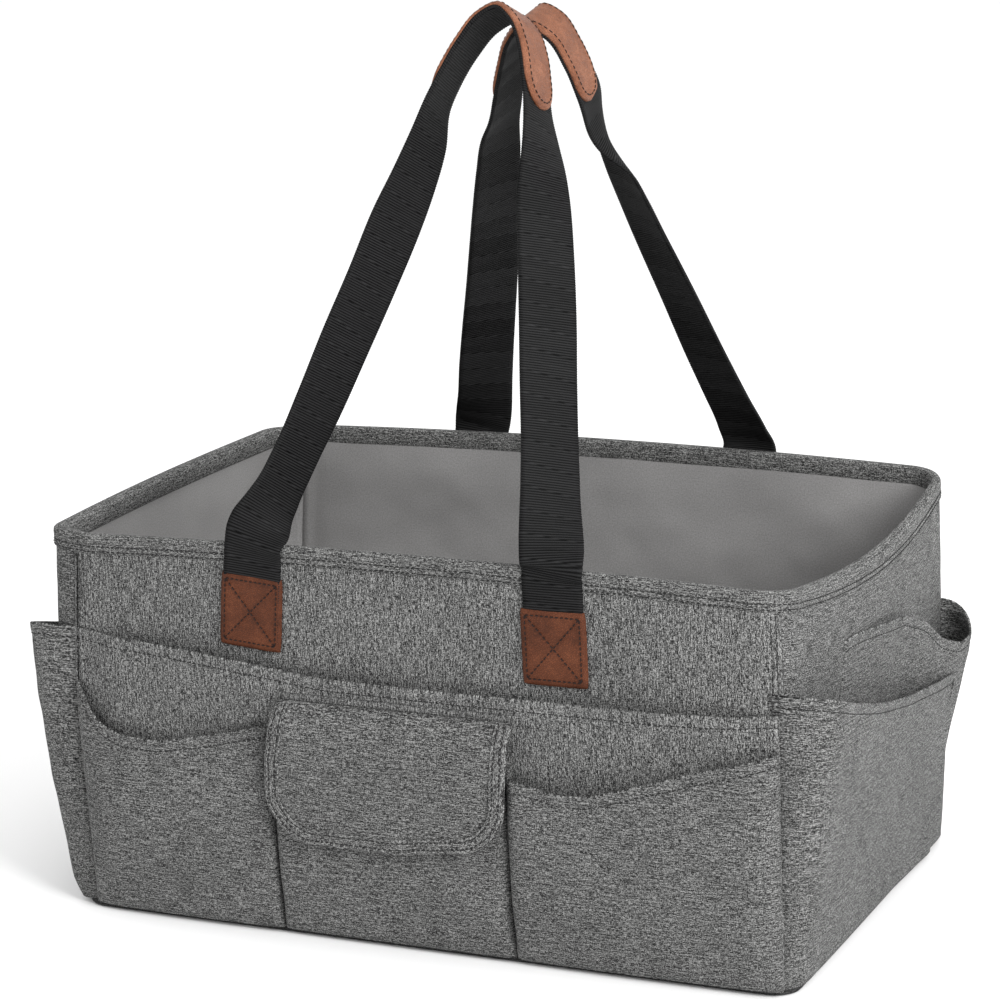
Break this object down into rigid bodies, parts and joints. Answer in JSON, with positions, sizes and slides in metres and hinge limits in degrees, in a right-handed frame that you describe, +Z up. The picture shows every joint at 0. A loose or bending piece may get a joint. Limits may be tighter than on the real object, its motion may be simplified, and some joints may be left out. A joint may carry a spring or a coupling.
{
  "type": "knitting bag",
  "caption": "open-topped rectangular fabric craft bag with stiffened walls, pockets on every side, a flap-covered front pocket and two long webbing handles with leather grips",
  "frame": {"origin": "middle of the underside of the base, on the surface the bag stands on", "axes": "+X along the long walls, to the right seen from the front; front (flap pocket) faces -Y; +Z up"},
  "size_m": [0.4554, 0.3093, 0.4725],
  "materials": {
    "outer_fabric_upright": "heathered grey polyester, slub running up, matte",
    "outer_fabric_level": "heathered grey polyester, slub running along, matte",
    "binding_fabric": "folded strips of the outer cloth, edge stitched",
    "seam_piping": "dark bound seam round the base",
    "lining": "smooth grey lining, slight sheen",
    "stiffener_board": "plastic sheet, sewn in",
    "webbing": "black ribbed polypropylene webbing",
    "patch_leather": "dark brown grained leather",
    "grip_leather": "tan brown pebbled leather",
    "hook_and_loop": "black hook-and-loop tape"
  },
  "bodies": {
    "bag": {"back_board": "stiffener_board", "back_centre_pocket_panel": "outer_fabric_level", "back_left_anchor_patch": "patch_leather", "back_left_pocket_panel": "outer_fabric_level", "back_left_strap_end": "webbing", "back_long_pocket_panel": "outer_fabric_upright", "back_right_anchor_patch": "patch_leather", "back_right_pocket_panel": "outer_fabric_level", "back_right_strap_end": "webbing", "base_board": "stiffener_board", "base_seam_binding": "seam_piping", "front_board": "stiffener_board", "front_centre_pocket_panel": "outer_fabric_level", "front_left_anchor_patch": "patch_leather", "front_left_pocket_panel": "outer_fabric_level", "front_left_strap_end": "webbing", "front_long_pocket_panel": "outer_fabric_upright", "front_right_anchor_patch": "patch_leather", "front_right_pocket_panel": "outer_fabric_level", "front_right_strap_end": "webbing", "left_board": "stiffener_board", "left_end_inner_pocket_panel": "outer_fabric_level", "left_end_outer_pocket_panel": "outer_fabric_level", "lining_back_panel": "lining", "lining_base_panel": "lining", "lining_front_panel": "lining", "lining_left_panel": "lining", "lining_right_panel": "lining", "outer_back_panel": "outer_fabric_upright", "outer_base_panel": "outer_fabric_level", "outer_front_panel": "outer_fabric_upright", "outer_left_panel": "outer_fabric_level", "outer_right_panel": "outer_fabric_level", "pocket_loop_tape": "hook_and_loop", "right_board": "stiffener_board", "right_end_inner_pocket_panel": "outer_fabric_level", "right_end_outer_pocket_panel": "outer_fabric_level", "rim_binding": "binding_fabric"},
    "front_handle": {"front_handle_webbing": "webbing", "front_handle_grip": "grip_leather"},
    "back_handle": {"back_handle_webbing": "webbing", "back_handle_grip": "grip_leather"},
    "flap": {"pocket_flap": "outer_fabric_level", "flap_binding": "binding_fabric", "flap_hook_tape": "hook_and_loop"}
  },
  "joints": [
    {"name": "front_handle_swing", "type": "hinge", "parent": "bag", "child": "front_handle", "pos_m": [0, -0.13745, 0.206], "axis": [1, 0, 0], "range_deg": [0, 130]},
    {"name": "back_handle_swing", "type": "hinge", "parent": "bag", "child": "back_handle", "pos_m": [0, 0.13745, 0.206], "axis": [-1, 0, 0], "range_deg": [0, 130]},
    {"name": "flap_lift", "type": "hinge", "parent": "bag", "child": "flap", "pos_m": [0, -0.1448, 0.129], "axis": [-1, 0, 0], "range_deg": [0, 120]}
  ]
}
